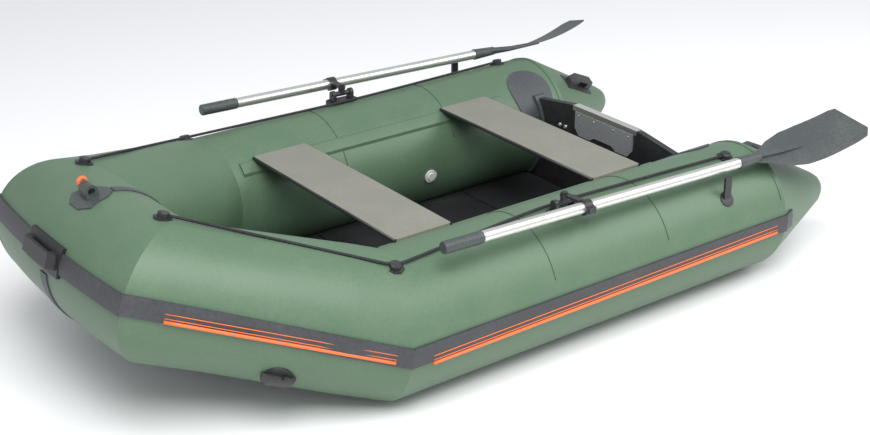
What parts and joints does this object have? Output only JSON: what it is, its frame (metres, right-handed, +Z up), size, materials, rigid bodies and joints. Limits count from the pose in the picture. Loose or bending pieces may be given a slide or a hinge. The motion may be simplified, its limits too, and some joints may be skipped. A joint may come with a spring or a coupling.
{
  "type": "inflatable boat",
  "caption": "Flat-bottomed inflatable boat with air tubes, lifted bow, transom, bench seats, rub strake, grab ropes and pivoting oars in oarlocks.",
  "frame": {"origin": "centre of the bounding box on the floor", "axes": "+X to the bow, +Y to port, +Z up"},
  "size_m": [2.6474, 1.5524, 0.6427],
  "materials": {
    "green_pvc": "satin",
    "grey_pvc": "satin",
    "strake_rubber": "satin",
    "black_board": "satin",
    "seat_board": "satin",
    "black_rope": "matt",
    "orange_rope": "matt",
    "pale_aluminium": "satin",
    "grey_plastic": "satin",
    "white_plastic": "gloss",
    "black_plastic": "satin"
  },
  "bodies": {
    "hull": {"bottom_sheet": "grey_pvc", "bow_handle": "black_plastic", "bow_tape": "grey_pvc", "bow_tube": "green_pvc", "floor_boards": "black_board", "front_seat": "seat_board", "keel_tape": "grey_pvc", "motor_plate": "grey_plastic", "port_air_valve": "white_plastic", "port_front_tube": "green_pvc", "port_grab_rope": "black_rope", "port_oar_clip": "black_plastic", "port_oarlock_base": "black_plastic", "port_rope_eyelets": "black_plastic", "port_seat_rail": "green_pvc", "port_side_tube": "green_pvc", "port_stern_cone": "green_pvc", "port_stern_handle": "black_plastic", "port_tow_ring": "black_plastic", "port_transom_holder": "grey_pvc", "rear_seat": "seat_board", "rub_strake": "strake_rubber", "starboard_air_valve": "white_plastic", "starboard_front_tube": "green_pvc", "starboard_grab_rope": "black_rope", "starboard_oar_clip": "black_plastic", "starboard_oarlock_base": "black_plastic", "starboard_rope_eyelets": "black_plastic", "starboard_seat_rail": "green_pvc", "starboard_side_tube": "green_pvc", "starboard_stern_cone": "green_pvc", "starboard_stern_handle": "black_plastic", "starboard_tow_ring": "black_plastic", "starboard_transom_holder": "grey_pvc", "tow_eye": "black_plastic", "tow_loop": "orange_rope", "transom": "black_board", "transom_cap": "pale_aluminium"},
    "port_oarlock": {"port_oarlock_barrel": "black_plastic"},
    "port_oar": {"port_oar_clamp": "black_plastic", "port_oar_shaft": "pale_aluminium", "port_oar_grip": "grey_plastic", "port_oar_blade": "grey_plastic"},
    "starboard_oarlock": {"starboard_oarlock_barrel": "black_plastic"},
    "starboard_oar": {"starboard_oar_clamp": "black_plastic", "starboard_oar_shaft": "pale_aluminium", "starboard_oar_grip": "grey_plastic", "starboard_oar_blade": "grey_plastic"}
  },
  "joints": [
    {"name": "port_oar_tilt", "type": "hinge", "parent": "hull", "child": "port_oarlock", "pos_m": [-0.10888, 0.602, 0.456], "axis": [0.9996, 0, 0.0297], "range_deg": [-18, 9]},
    {"name": "port_oar_swing", "type": "hinge", "parent": "port_oarlock", "child": "port_oar", "pos_m": [-0.10888, 0.602, 0.456], "axis": [0.0297, 0, -0.9996], "range_deg": [0, 125]},
    {"name": "starboard_oar_tilt", "type": "hinge", "parent": "hull", "child": "starboard_oarlock", "pos_m": [-0.10888, -0.602, 0.456], "axis": [-0.9996, 0, -0.0297], "range_deg": [-18, 9]},
    {"name": "starboard_oar_swing", "type": "hinge", "parent": "starboard_oarlock", "child": "starboard_oar", "pos_m": [-0.10888, -0.602, 0.456], "axis": [-0.0297, 0, 0.9996], "range_deg": [0, 125]}
  ]
}
